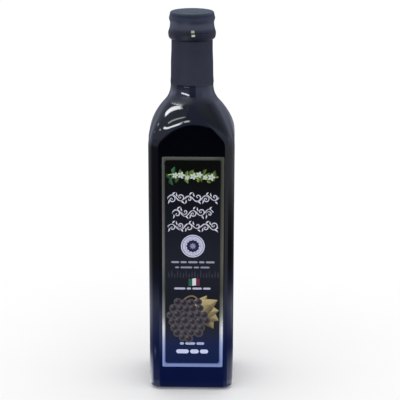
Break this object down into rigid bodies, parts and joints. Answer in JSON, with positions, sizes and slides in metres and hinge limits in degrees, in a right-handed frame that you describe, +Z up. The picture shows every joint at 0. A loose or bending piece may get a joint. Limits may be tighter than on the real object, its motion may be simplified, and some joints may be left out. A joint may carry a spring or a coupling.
{
  "type": "vinegar bottle",
  "caption": "Tall square bottle of dark glass with rounded corners, a curved shoulder, a sleeved neck, a screw cap and a tall front label.",
  "frame": {"origin": "middle of the base, on the surface that the bottle stands on", "axes": "+Z up through the neck; -Y towards the side with the label; +X to the right of someone who faces the label"},
  "size_m": [0.0588, 0.0595, 0.265],
  "materials": {
    "dark_glass": "polished, so dark that nothing shows through",
    "black_cap": "satin black lacquer",
    "black_sleeve": "satin shrink film",
    "printed_label": "printed film with a silver border"
  },
  "bodies": {
    "root": {"glass_bottle": "dark_glass", "screw_cap": "black_cap", "neck_sleeve": "black_sleeve", "front_label": "printed_label"}
  },
  "joints": []
}
